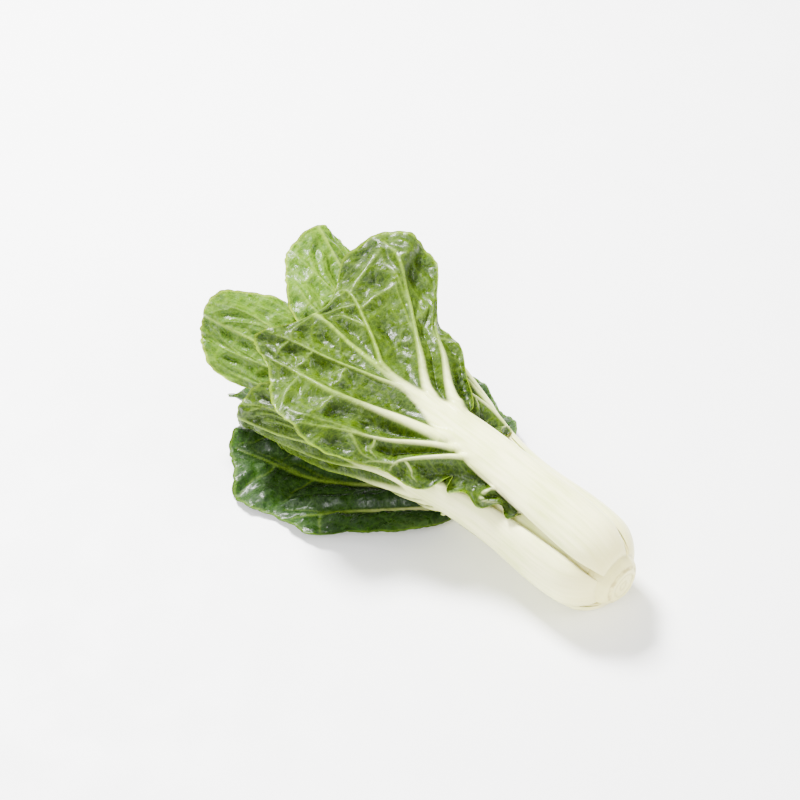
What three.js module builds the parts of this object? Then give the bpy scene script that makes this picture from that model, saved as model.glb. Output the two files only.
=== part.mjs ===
// One head of baby bok choy, lying on its side. Millimetres, +Z up.
// The cut root end points along +X and the leaves along -X. Each leaf is worked out flat first, with
// "along" the distance from its root and "across" the distance from its midrib, and is then wrapped
// round the head's axis at a distance that grows from the root to the leafy end.
import * as THREE from 'three';

// Driving dimensions
const headLength = 200;
const leafyWidening = 1.3;
const leafyFlattening = 0.88;
const jointGap = 0.35;
const bladeThickness = 1.0;
const stalkEdgeThickness = 1.1;
const ribHeight = 1.9;
const quiltDepth = 1.7;
const marginLobe = 0.045;
const ribBow = 0.13;

// Distances from the root at which a leaf's distance from the axis is stated
const stations = [0, 16, 60, 95, 130, 160, 200];
const axisHeights = [20.2, 20.9, 24.6, 27.5, 29, 30, 31];

// Colours
const white = 0xeef0dc;
const cream = 0xe6e0b4;
const midGreen = 0x6f9a3a;
const darkGreen = 0x2f5d2a;
const limeGreen = 0xa9c65a;

// turn is the way a leaf faces round the axis in degrees, 0 up and 90 towards +Y. swing is how much more
// it turns by its tip. start is where its root is along the head. radii go with the stations.
// Pairs are for the left side and the right side: bladeStart is where the blade starts, half its half
// width, obovate how far its widest part is moved towards the tip, and the lobes are how far the margin
// stands out near the tip and on the side.
const leaves = [
  {
    name: 'top_leaf', turn: -7, swing: -4, start: 1, length: 170, bladeStart: [66, 84],
    radii: [12.2, 18.5, 21.6, 25.5, 32.5, 39, 46], widths: [16, 23.5, 20, 18], thick: 7.2, half: [33, 31],
    flat: 0.95, ruffle: 4.8, waves: 5, phase: 2.9, notch: 14, obovate: [0.1, 0.65], color: midGreen,
    tipLobe: [3, 4], sideLobe: [0, 7],
  },
  {
    name: 'under_leaf', turn: 180, swing: 5, start: 1, length: 182, bladeStart: [76, 76],
    radii: [12.2, 18.5, 21.6, 26.0, 32.2, 34.2, 35.5], widths: [19, 28, 22, 20], thick: 6.8, half: [44, 44],
    flat: 1.0, ruffle: 1.5, waves: 4, phase: 2.1, notch: 3, obovate: [0.2, 0.2], color: darkGreen,
  },
  {
    name: 'near_leaf', turn: -93, swing: 3, start: 2, length: 162, bladeStart: [72, 68],
    radii: [11.6, 17.4, 17.3, 20.6, 28.4, 35.5, 47], widths: [15, 27, 21, 17], thick: 6.2, half: [27, 28],
    flat: 0.15, ruffle: 1.8, waves: 5, phase: 1.4, notch: 2, obovate: [0.25, 0.25], color: midGreen,
  },
  {
    name: 'far_leaf', turn: 84, swing: 0, start: 2, length: 172, bladeStart: [72, 74],
    radii: [11.6, 17.4, 17.2, 20.6, 27.5, 33, 44], widths: [15, 27.5, 20, 17], thick: 6.0, half: [29, 30],
    flat: 0.15, ruffle: 1.8, waves: 4, phase: 3.9, notch: 0, obovate: [0.25, 0.25], color: midGreen,
  },
];

// The middle leaves stand in the gaps of the outer ones, and the inner ones round the heart.
const middleTurns = [-46, 44, 136, -136];
const middleSwings = [2, -18, -1, -4];
const middleHalves = [20, 24, 20.5, 22];
const middleRadii = [
  [10.1, 13.6, 19, 24, 40], [12.8, 16.8, 23.4, 31, 47], [9.7, 13.2, 18.6, 22.5, 27], [13, 17, 22.8, 26.5, 29],
];
const innerTurns = [20, 140, -100];
const innerRadii = [[6.3, 6.7, 9.8, 14.6, 18, 23], [5.2, 4.6, 6.6, 10.6, 13, 17], [4.1, 2.2, 2.8, 6, 9, 12]];
middleTurns.forEach((turn, i) => leaves.push({
  name: `middle_leaf_${i + 1}`, turn, swing: middleSwings[i], start: 5, length: 194 - 4 * i, bladeStart: [76, 80],
  radii: [8.6, 11.2, ...middleRadii[i]], widths: [13, 15.5, 13, 11], thick: 4.6,
  half: Array(2).fill(middleHalves[i]), flat: 0, ruffle: 1, waves: 4 + i % 2, phase: 1.7 * i, notch: 3,
  obovate: [0.3, 0.3], color: i < 2 ? limeGreen : darkGreen,
}));
innerTurns.forEach((turn, i) => leaves.push({
  name: `inner_leaf_${i + 1}`, turn, swing: 6, start: 9, length: 164 - 20 * i, bladeStart: [62, 64],
  radii: [5.0, ...innerRadii[i]], widths: [7 - i, 9 - 1.5 * i, 7 - i, 7 - i], thick: 2.4,
  half: [16 - 4 * i, 15 - 4 * i], flat: 0, ruffle: 0.5, waves: 4, phase: 2.3 * i, notch: 1,
  obovate: [0.2, 0.2], color: limeGreen,
}));

const clamp = THREE.MathUtils.clamp;
const lerp = THREE.MathUtils.lerp;
const smoothstep = THREE.MathUtils.smoothstep;

// A smooth curve through stated values, with slopes taken from the neighbours on both sides.
function throughStations(at, values, x) {
  const last = at.length - 1;
  let i = 0;
  while (i < last - 1 && x > at[i + 1]) i += 1;
  const slope = (k) => {
    const low = Math.max(k - 1, 0);
    const high = Math.min(k + 1, last);
    return (values[high] - values[low]) / (at[high] - at[low]);
  };
  const span = at[i + 1] - at[i];
  const t = clamp((x - at[i]) / span, 0, 1);
  const t2 = t * t;
  const t3 = t2 * t;
  return (2 * t3 - 3 * t2 + 1) * values[i] + (t3 - 2 * t2 + t) * span * slope(i)
    + (3 * t2 - 2 * t3) * values[i + 1] + (t3 - t2) * span * slope(i + 1);
}

// Half width of the white stalk, which goes on into the blade as a midrib that tapers to its tip.
function stalkHalfWidth(leaf, along) {
  const neck = (leaf.bladeStart[0] + leaf.bladeStart[1]) / 2 + 9;
  const tip = midribEnd(leaf);
  const places = [0, 15, 52, neck, lerp(neck, tip, 0.3), tip];
  const [root, belly, waist, top] = leaf.widths;
  return throughStations(places, [root, belly, waist, top * 0.8, top * 0.27, 0.6], along) / 2;
}

function midribEnd(leaf) {
  return leaf.length * 0.82;
}

// Waves of the blade, which grow towards its margin.
function ruffle(leaf, along, across) {
  const start = (leaf.bladeStart[0] + leaf.bladeStart[1]) / 2;
  const reach = (leaf.length - start) / 2;
  const centre = start + reach;
  const half = across < 0 ? leaf.half[0] : leaf.half[1];
  const forward = Math.max(along - centre, 0) / reach;
  const rim = clamp(Math.hypot(forward, across / half), 0, 1.15);
  const round = Math.atan2(across / half, (along - centre) / reach);
  const free = 1 + 2.5 * smoothstep(leaf.start + along, 168, 195);
  return leaf.ruffle * free * rim ** 2.2 * Math.sin(leaf.waves * round + leaf.phase);
}

// The leaf's middle surface, wrapped round the axis of the lying head.
function middleSurface(leaf, along, across) {
  const a = leaf.start + along;
  const leafy = smoothstep(a, 45, 120);
  const radius = throughStations(stations, leaf.radii, a);
  const flat = leaf.flat * leafy;
  const aside = clamp((1 - flat) * (across / radius) + flat * Math.atan(across / radius), -2.2, 2.2);
  const spread = Math.max(Math.cos(aside), 0.35) ** flat;
  const out = radius / spread + ruffle(leaf, along, across);
  const angle = THREE.MathUtils.degToRad(leaf.turn + leaf.swing * smoothstep(a, 60, 170)) + aside;
  const y = out * Math.sin(angle) * lerp(1, leafyWidening, leafy);
  const axis = throughStations(stations, axisHeights, a);
  const z = axis + out * Math.cos(angle) * lerp(1, leafyFlattening, leafy);
  const low = leafy * bladeThickness / 2;
  return new THREE.Vector3(headLength / 2 - a, y, leafy > 0 ? Math.max(z, low) : z);
}

// The middle surface moved outwards, square to itself. What would sink into the table is flat on it.
function leafPoint(leaf, along, across, outwards) {
  const step = 0.5;
  const point = middleSurface(leaf, along, across);
  const ahead = middleSurface(leaf, along + step, across).sub(middleSurface(leaf, along - step, across));
  const aside = middleSurface(leaf, along, across + step).sub(middleSurface(leaf, along, across - step));
  point.addScaledVector(aside.cross(ahead).normalize(), outwards);
  point.z = Math.max(point.z, 0);
  return point;
}

// A closed solid from a grid of flat places, each with how far it stands out and in.
function sheetSolid(rows) {
  const columns = rows[0].length;
  const count = rows.length * columns;
  const positions = [];
  for (const side of ['outer', 'inner']) {
    for (const row of rows) {
      for (const place of row) positions.push(...place[side].toArray());
    }
  }
  const faces = [];
  const quad = (a, b, c, d) => faces.push(a, b, c, a, c, d);
  for (let i = 0; i < rows.length - 1; i += 1) {
    for (let j = 0; j < columns - 1; j += 1) {
      const a = i * columns + j;
      const b = a + 1;
      const c = a + columns + 1;
      const d = a + columns;
      quad(a, b, c, d);
      // The inner face is split along the same diagonal, so that the two cannot cross.
      quad(count + a, count + d, count + c, count + b);
    }
  }
  const rim = [];
  for (let j = 0; j < columns; j += 1) rim.push(j);
  for (let i = 1; i < rows.length; i += 1) rim.push(i * columns + columns - 1);
  for (let j = columns - 2; j >= 0; j -= 1) rim.push((rows.length - 1) * columns + j);
  for (let i = rows.length - 2; i > 0; i -= 1) rim.push(i * columns);
  rim.forEach((from, k) => {
    const to = rim[(k + 1) % rim.length];
    quad(from, count + from, count + to, to);
  });
  const geometry = new THREE.BufferGeometry();
  geometry.setAttribute('position', new THREE.Float32BufferAttribute(positions, 3));
  geometry.setIndex(faces);
  return facesOut(geometry);
}

// Turns every face round where the solid came out inside out.
function facesOut(geometry) {
  const p = geometry.attributes.position;
  const index = geometry.index;
  const corner = (k) => new THREE.Vector3().fromBufferAttribute(p, index.getX(k));
  let volume = 0;
  for (let k = 0; k < index.count; k += 3) volume += corner(k).dot(corner(k + 1).cross(corner(k + 2)));
  if (volume < 0) {
    for (let k = 0; k < index.count; k += 3) {
      const first = index.getX(k);
      index.setX(k, index.getX(k + 1));
      index.setX(k + 1, first);
    }
  }
  geometry.computeVertexNormals();
  return geometry;
}

const evenly = (count) => Array.from({ length: count + 1 }, (_, i) => i / count);

// The thick white stalk: round outside, flatter inside, and tapered to the end of the midrib.
function stalkGeometry(leaf, rowCount, columnCount) {
  const end = midribEnd(leaf);
  const places = [0, 16, 60, 92, end];
  const depths = [0.55, 1, 0.86, 0.55, 0.2].map((share) => share * leaf.thick);
  return sheetSolid(evenly(rowCount).map((v) => evenly(columnCount).map((u) => {
    const along = v ** 0.94 * end;
    const side = -Math.cos(Math.PI * u);
    const across = stalkHalfWidth(leaf, along) * side;
    const swell = Math.sqrt(Math.max(1 - side * side, 0));
    const depth = Math.max(throughStations(places, depths, along), 1.4) - stalkEdgeThickness;
    return {
      outer: leafPoint(leaf, along, across, stalkEdgeThickness / 2 + depth * 0.58 * swell),
      inner: leafPoint(leaf, along, across, -stalkEdgeThickness / 2 - depth * 0.42 * swell),
    };
  })));
}

// 1 where x is at the middle, falling off to both sides.
function bulge(x, middle, spread) {
  return Math.exp(-(((x - middle) / spread) ** 2));
}

// One line of the blade from the midrib to the margin. sweep runs from 0, where the blade starts low on
// the stalk, to 1 at the tip. side is -1 or 1.
function bladeLine(leaf, sweep, side) {
  const start = leaf.bladeStart[side < 0 ? 0 : 1];
  const half = leaf.half[side < 0 ? 0 : 1];
  const obovate = leaf.obovate[side < 0 ? 0 : 1];
  const end = midribEnd(leaf) + 9;
  const rootAlong = lerp(start, end, sweep ** 2.1);
  const rootAcross = sweep < 1 ? stalkHalfWidth(leaf, rootAlong) + jointGap * (1 + sweep) : 0;
  const turned = Math.PI * sweep;
  const lobe = 1 + marginLobe * Math.sin(9 * turned + leaf.phase + side);
  const fullness = lobe * Math.sin(turned) ** 0.72 * (1 - obovate * Math.cos(turned));
  const reach = (leaf.length - start) / 2;
  const [tipLobe, sideLobe] = [leaf.tipLobe, leaf.sideLobe].map((lobes) => lobes?.[side < 0 ? 0 : 1] ?? 0);
  const dent = leaf.notch * bulge(sweep, 1, 0.11);
  const rimAlong = start + reach * (1 - Math.cos(turned)) - dent + tipLobe * bulge(sweep, 0.85, 0.1);
  const neck = stalkHalfWidth(leaf, start) + jointGap + 1.2;
  const rimAcross = neck * (1 - sweep) + (half - neck / 2) * fullness + sideLobe * bulge(sweep, 0.66, 0.15);
  const bow = ribBow * reach * (1 - sweep) * Math.sqrt(Math.sin(turned));
  return (out) => ({
    along: lerp(rootAlong, rimAlong, out ** 1.15) + bow * Math.sin(Math.PI * out),
    across: side * lerp(rootAcross, rimAcross, out),
  });
}

// The green blade: lines that fan out from the midrib. Every third line is a raised rib, and those
// between them are sunk, so that the blade is quilted as on the real leaf.
function bladeGeometry(leaf, linesPerSide, steps) {
  const lines = [];
  for (const side of [-1, 1]) {
    for (let k = 0; k < linesPerSide; k += 1) {
      const order = side < 0 ? k : linesPerSide - 1 - k;
      lines.push({ line: bladeLine(leaf, order / linesPerSide, side), rib: order % 3 === 1 ? 1 : 0 });
    }
    if (side < 0) lines.push({ line: bladeLine(leaf, 1, 1), rib: 0 });
  }
  const depth = Math.min(leaf.half[0] / 30, 1);
  return sheetSolid(lines.map(({ line, rib }) => evenly(steps).map((out) => {
    const { along, across } = line(out);
    const raised = rib * ribHeight * (1 - out) ** 0.7 * depth;
    const sunk = (rib - 0.5) * quiltDepth * Math.sin(Math.PI * out) * depth;
    return {
      outer: leafPoint(leaf, along, across, bladeThickness / 2 + raised + sunk),
      inner: leafPoint(leaf, along, across, -bladeThickness / 2 + sunk),
    };
  })));
}

function named(name, geometry, color, roughness) {
  const mesh = new THREE.Mesh(geometry, new THREE.MeshStandardMaterial({ color, roughness, metalness: 0 }));
  mesh.name = name;
  return mesh;
}

// The short stem that the leaves grow from, with its flat cut face.
function crownGeometry() {
  const outline = [[0, -2.4], [9.4, -2.4], [10.4, -1.4], [10.3, 0.6], [6.2, 2.6], [2.8, 6.5], [0, 7.5]];
  const geometry = new THREE.LatheGeometry(outline.map(([r, a]) => new THREE.Vector2(r, a)), 24);
  geometry.rotateZ(Math.PI / 2);
  geometry.translate(headLength / 2, 0, axisHeights[0]);
  return geometry;
}

const group = new THREE.Group();
for (const leaf of leaves) {
  const outer = leaf.thick > 6;
  group.add(named(`${leaf.name}_stalk`, stalkGeometry(leaf, outer ? 17 : 14, outer ? 8 : 6), white, 0.35));
  group.add(named(`${leaf.name}_blade`, bladeGeometry(leaf, outer ? 16 : 12, outer ? 8 : 6), leaf.color, 0.45));
}
group.add(named('crown', crownGeometry(), cream, 0.6));

// The origin is under the middle of the head, on the surface that it lies on.
const middle = new THREE.Box3().setFromObject(group).getCenter(new THREE.Vector3());
group.position.set(-middle.x, -middle.y, 0);

export default group;
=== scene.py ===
"""A head of baby bok choy, lying on its side on a pale table.

The leaves are worked out flat first, in millimetres: "along" is the distance from a leaf's root and
"across" the distance from its midrib. Each is then wrapped round the axis of the lying head, given its
ribs, net of veins and puckers, and turned into one closed mesh.
"""

from __future__ import annotations

import logging
import math
from dataclasses import dataclass, field
from enum import Enum

import bpy
import numpy as np
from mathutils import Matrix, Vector


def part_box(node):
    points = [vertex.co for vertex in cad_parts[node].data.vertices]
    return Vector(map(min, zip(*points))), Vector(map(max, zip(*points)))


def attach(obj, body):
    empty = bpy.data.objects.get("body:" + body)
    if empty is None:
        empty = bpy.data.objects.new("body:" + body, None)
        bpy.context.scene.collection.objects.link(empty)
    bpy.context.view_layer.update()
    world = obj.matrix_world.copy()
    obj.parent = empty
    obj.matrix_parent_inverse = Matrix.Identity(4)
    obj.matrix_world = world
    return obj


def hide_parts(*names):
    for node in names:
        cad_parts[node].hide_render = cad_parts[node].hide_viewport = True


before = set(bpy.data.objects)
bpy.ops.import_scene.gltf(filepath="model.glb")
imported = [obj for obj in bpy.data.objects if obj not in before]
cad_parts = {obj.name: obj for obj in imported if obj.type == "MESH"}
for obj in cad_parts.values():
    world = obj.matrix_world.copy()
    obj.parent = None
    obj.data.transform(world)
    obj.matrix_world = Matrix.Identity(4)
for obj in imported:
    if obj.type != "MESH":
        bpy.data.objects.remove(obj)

log = logging.getLogger("bok_choy")

Socket = bpy.types.NodeSocket
Colour = tuple[float, float, float, float]
Place = tuple[float, float, float]

MM = 0.001
# The whole head's sizes in millimetres, and how much wider and flatter its leafy part is
HEAD_LENGTH = 200.0
LEAFY_WIDENING = 1.3
LEAFY_FLATTENING = 0.88
CROWN_REACH = 2.4
STALK_EDGE_THICKNESS = 1.1
# Distances from the cut end, and the height of the head's axis at each
STATIONS = (0, 16, 60, 95, 130, 160, 200)
AXIS_HEIGHTS = (20.2, 20.9, 24.6, 27.5, 29, 30, 31)
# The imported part's box, read before anything is added
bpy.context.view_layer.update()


class BladeTone(Enum):
    """The greens that a blade can have, named by the slot of the part that each stands for."""

    GREEN = "green_blade"
    DARK = "dark_blade"
    YOUNG = "young_blade"


def smoothstep(values: np.ndarray, low: float, high: float) -> np.ndarray:
    """Rises smoothly from 0 at low to 1 at high.

    Args:
        values: Numbers of any shape.
        low: Where the rise starts.
        high: Where it ends.

    Returns:
        An array of the same shape, between 0 and 1.
    """
    t = np.clip((values - low) / (high - low), 0, 1)
    return t * t * (3 - 2 * t)


def mixed(start: np.ndarray, end: np.ndarray, share: np.ndarray) -> np.ndarray:
    """Goes from start to end as share goes from 0 to 1."""
    return start + (end - start) * share


def through_stations(at: tuple, values: tuple, x: np.ndarray) -> np.ndarray:
    """A smooth curve through stated values, with slopes taken from the neighbours on both sides.

    Args:
        at: Rising places where the value is stated.
        values: The value at each place.
        x: Where the curve is wanted.

    Returns:
        The curve's value for each x.
    """
    at = np.asarray(at, float)
    values = np.asarray(values, float)
    slopes = np.gradient(values, at, edge_order=1)
    slopes[1:-1] = (values[2:] - values[:-2]) / (at[2:] - at[:-2])
    i = np.clip(np.searchsorted(at, x, side="left") - 1, 0, len(at) - 2)
    span = at[i + 1] - at[i]
    t = np.clip((x - at[i]) / span, 0, 1)
    t2 = t * t
    t3 = t2 * t
    near = (2 * t3 - 3 * t2 + 1) * values[i] + (t3 - 2 * t2 + t) * span * slopes[i]
    return near + (3 * t2 - 2 * t3) * values[i + 1] + (t3 - t2) * span * slopes[i + 1]


def bulge(x: np.ndarray, middle: float, spread: float) -> np.ndarray:
    """1 where x is at the middle, falling off to both sides."""
    return np.exp(-(((x - middle) / spread) ** 2))


@dataclass(frozen=True)
class LeafForm:
    """The sizes of one leaf in millimetres and degrees.

    turn is the way the leaf faces round the head's axis, 0 up and 90 towards +Y, and swing is how much
    more it turns by its tip. radii go with STATIONS. Pairs are for the left side and the right side.
    """

    name: str
    turn: float
    swing: float
    start: float
    length: float
    blade_start: tuple[float, float]
    radii: tuple[float, ...]
    widths: Colour
    thick: float
    half: tuple[float, float]
    flat: float
    ruffle: float
    waves: int
    phase: float
    notch: float
    obovate: tuple[float, float]
    tone: BladeTone
    tip_lobe: tuple[float, float] = (0, 0)
    side_lobe: tuple[float, float] = (0, 0)
    slit: tuple[float, float] = (0, 0)
    wing: tuple[float, float] = (0, 0)

    @property
    def midrib_end(self) -> float:
        """Where the midrib has run out into the blade."""
        return self.length * 0.82

    @property
    def depth_share(self) -> float:
        """How deep the relief of this leaf is, for its size."""
        return min(self.half[0] / 30, 1)


@dataclass(frozen=True)
class LeafGrain:
    """How finely a leaf is divided: rows down its stalk, columns across it, lines and steps in its blade."""

    rows: int
    columns: int
    lines: int
    steps: int


class LeafSurface:
    """The middle surface of one leaf, wrapped round the axis of the lying head."""

    # Where the stalk's widths are stated along it, and its shares of the neck's width beyond
    BELLY_AT = 15
    WAIST_AT = 52
    NECK_BEYOND = 9
    NECK_SHARE = 0.8
    SLENDER_AT = 0.3
    SLENDER_SHARE = 0.27
    MIDRIB_TIP = 0.6
    MIDRIB_FADE = 9
    # The waves of the margin, which swing more freely where it stands clear of the other leaves
    WIDEST_RIM = 1.15
    RIM_SHARPNESS = 2.2
    FREE_TIP = 2.5
    FREE_RANGE = (168, 195)
    # Distances from the cut end over which the head widens and the leaves swing
    LEAFY_RANGE = (45, 120)
    SWING_RANGE = (60, 170)
    NORMAL_STEP = 0.5
    THINNEST_SPREAD = 0.35
    WIDEST_TURN = 2.2
    TABLE_CLEARANCE = 0.5

    def __init__(self, form: LeafForm) -> None:
        """Keeps the form.

        Args:
            form: The leaf's sizes.
        """
        self.form = form

    def half_width(self, along: np.ndarray) -> np.ndarray:
        """Half the width of the white stalk, which goes on as a midrib and tapers to nothing.

        Args:
            along: Distances from the root.

        Returns:
            Half widths in millimetres.
        """
        form = self.form
        neck = sum(form.blade_start) / 2 + self.NECK_BEYOND
        tip = form.midrib_end
        root, belly, waist, top = form.widths
        slender = neck + (tip - neck) * self.SLENDER_AT
        places = (0, self.BELLY_AT, self.WAIST_AT, neck, slender, tip)
        widths = (root, belly, waist, top * self.NECK_SHARE, top * self.SLENDER_SHARE, self.MIDRIB_TIP)
        fade = 1 - np.clip((along - tip) / self.MIDRIB_FADE, 0, 1)
        return through_stations(places, widths, along) / 2 * fade

    def rim_place(self, along: np.ndarray, across: np.ndarray) -> tuple[np.ndarray, np.ndarray]:
        """How near the margin a place is, and which way it lies from the blade's middle.

        Args:
            along: Distances from the root.
            across: Distances from the midrib.

        Returns:
            The nearness, about 1 on the margin, and the direction in radians.
        """
        form = self.form
        start = sum(form.blade_start) / 2
        reach = (form.length - start) / 2
        half = np.where(across < 0, form.half[0], form.half[1])
        forward = (along - start - reach) / reach
        near = np.clip(np.hypot(np.maximum(forward, 0), across / half), 0, self.WIDEST_RIM)
        return near, np.arctan2(across / half, forward)

    def ruffle(self, along: np.ndarray, across: np.ndarray) -> np.ndarray:
        """Waves of the blade, which grow towards its margin.

        Args:
            along: Distances from the root.
            across: Distances from the midrib.

        Returns:
            How far each place is moved away from the axis.
        """
        form = self.form
        near, around = self.rim_place(along, across)
        free = 1 + self.FREE_TIP * smoothstep(form.start + along, *self.FREE_RANGE)
        return form.ruffle * free * near**self.RIM_SHARPNESS * np.sin(form.waves * around + form.phase)

    def middle(self, along: np.ndarray, across: np.ndarray) -> np.ndarray:
        """Points of the middle surface.

        Args:
            along: Distances from the root.
            across: Distances from the midrib.

        Returns:
            Points in the head's own millimetres, one row each.
        """
        form = self.form
        a = form.start + along
        leafy = smoothstep(a, *self.LEAFY_RANGE)
        radius = through_stations(STATIONS, form.radii, a)
        flat = form.flat * leafy
        turned = across / radius
        aside = (1 - flat) * turned + flat * np.arctan(turned)
        aside = np.clip(aside, -self.WIDEST_TURN, self.WIDEST_TURN)
        out = radius / np.maximum(np.cos(aside), self.THINNEST_SPREAD) ** flat + self.ruffle(along, across)
        angle = np.radians(form.turn + form.swing * smoothstep(a, *self.SWING_RANGE)) + aside
        y = out * np.sin(angle) * mixed(1, LEAFY_WIDENING, leafy)
        axis = through_stations(STATIONS, AXIS_HEIGHTS, a)
        z = axis + out * np.cos(angle) * mixed(1, LEAFY_FLATTENING, leafy)
        z = np.where(leafy > 0, np.maximum(z, leafy * self.TABLE_CLEARANCE), z)
        return np.stack([HEAD_LENGTH / 2 - a, y, z], axis=-1)

    def outward(self, along: np.ndarray, across: np.ndarray) -> np.ndarray:
        """Directions square to the middle surface, away from the head's axis.

        Args:
            along: Distances from the root.
            across: Distances from the midrib.

        Returns:
            Unit vectors, one row each.
        """
        step = self.NORMAL_STEP
        ahead = self.middle(along + step, across) - self.middle(along - step, across)
        aside = self.middle(along, across + step) - self.middle(along, across - step)
        square = np.cross(aside, ahead)
        return square / np.linalg.norm(square, axis=-1, keepdims=True)


class BladeLines:
    """The lines that fan out from the midrib to the margin. They carry the mesh and the ribs."""

    CROWDING = 2.1
    BEYOND_MIDRIB = 9
    ROUNDNESS = 0.72
    LOBE_DEPTH = 0.045
    LOBE_RATE = 9
    NOTCH_SPREAD = 0.11
    # The middle and the spread of each lobe, as blade lines
    TIP_LOBE = (0.85, 0.1)
    SIDE_LOBE = (0.66, 0.15)
    NECK_MARGIN = 1.5
    BOW = 0.13
    REACH_CURVE = 1.15
    TOOTH_DEPTH = 0.014
    TOOTH_RATES = (26, 11)
    SLIT_SPREAD = 0.016
    WING_SHARE = 0.16
    WING_TAPER = 1.5
    WING_LOBE = 0.1
    WING_LOBES = 118
    WING_WOBBLE = (0.8, 40)

    def __init__(self, surface: LeafSurface) -> None:
        """Keeps the surface that the lines lie on.

        Args:
            surface: The leaf's middle surface.
        """
        self.surface = surface
        self.form = surface.form

    def root_along(self, sweep: np.ndarray, side: int) -> np.ndarray:
        """Where a line leaves the midrib.

        Args:
            sweep: 0 for the line lowest on the stalk, 1 for the one at the tip.
            side: -1 for the left side of the leaf, 1 for the right.

        Returns:
            Distances from the root.
        """
        start = self.form.blade_start[0 if side < 0 else 1]
        end = self.form.midrib_end + self.BEYOND_MIDRIB
        return mixed(start, end, sweep**self.CROWDING) - self.wing_reach(sweep, side)

    def wing_reach(self, sweep: np.ndarray, side: int) -> np.ndarray:
        """How far the narrow wing at the foot of the blade runs down the stalk.

        Args:
            sweep: 0 for the line lowest on the stalk, 1 for the one at the tip.
            side: -1 for the left side of the leaf, 1 for the right.

        Returns:
            Distances towards the root.
        """
        low = 1 - np.clip(sweep / self.WING_SHARE, 0, 1)
        return self.form.wing[0 if side < 0 else 1] * low**self.WING_TAPER

    def pull(self, sweep: np.ndarray, out: np.ndarray, side: int) -> np.ndarray:
        """How much of its way to the margin a place goes, which is less at the teeth and the slit.

        Args:
            sweep: 0 for the line lowest on the stalk, 1 for the one at the tip.
            out: 0 on the midrib, 1 on the margin.
            side: -1 for the left side of the leaf, 1 for the right.

        Returns:
            Shares of 1 or a little less.
        """
        form = self.form
        close, wide = self.TOOTH_RATES
        turned = np.pi * sweep
        tooth = np.abs(np.sin(close * turned + form.phase))
        tooth = tooth * np.abs(np.sin(wide * turned + 2 * form.phase)) ** 0.5
        share = 1 - self.TOOTH_DEPTH * (1 - tooth) * out**7
        if side < 0 and form.slit[1]:
            share = share - form.slit[1] * bulge(sweep, form.slit[0], self.SLIT_SPREAD) * out**2
        return share

    def place(self, sweep: np.ndarray, out: np.ndarray, side: int) -> tuple[np.ndarray, np.ndarray]:
        """Flat places on the lines.

        Args:
            sweep: 0 for the line lowest on the stalk, 1 for the one at the tip.
            out: 0 on the midrib, 1 on the margin.
            side: -1 for the left side of the leaf, 1 for the right.

        Returns:
            The distances along and across.
        """
        form = self.form
        pick = 0 if side < 0 else 1
        start = form.blade_start[pick]
        root = self.root_along(sweep, side)
        root_across = self.surface.half_width(root)
        turned = np.pi * sweep
        lobe = 1 + self.LOBE_DEPTH * np.sin(self.LOBE_RATE * turned + form.phase + side)
        fullness = lobe * np.sin(turned) ** self.ROUNDNESS * (1 - form.obovate[pick] * np.cos(turned))
        reach = (form.length - start) / 2
        dent = form.notch * bulge(sweep, 1, self.NOTCH_SPREAD)
        tip_lobe = form.tip_lobe[pick] * bulge(sweep, *self.TIP_LOBE)
        side_lobe = form.side_lobe[pick] * bulge(sweep, *self.SIDE_LOBE)
        wing = self.wing_reach(sweep, side)
        rim_along = start + reach * (1 - np.cos(turned)) - dent + tip_lobe - wing
        neck = self.surface.half_width(start - wing) + self.NECK_MARGIN
        rim_across = neck * (1 - sweep) + (form.half[pick] - neck / 2) * fullness + side_lobe
        wobble, rate = self.WING_WOBBLE
        low = np.clip(1 - sweep / self.WING_SHARE, 0, 1) ** 0.6
        lobes = low * np.sin(self.WING_LOBES * sweep + wobble * np.sin(rate * sweep))
        rim_across = rim_across + self.WING_LOBE * form.wing[pick] * lobes
        pull = self.pull(sweep, out, side)
        bow = self.BOW * reach * np.sin(np.pi * out) * (1 - sweep) * np.abs(np.sin(turned)) ** 0.5
        along = mixed(root, rim_along, out**self.REACH_CURVE * pull) + bow
        return along, side * mixed(root_across, rim_across, out * pull)


@dataclass(frozen=True)
class Vein:
    """One raised vein as a flat line, with its half width and height at each point."""

    points: np.ndarray
    widths: np.ndarray
    heights: np.ndarray


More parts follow.
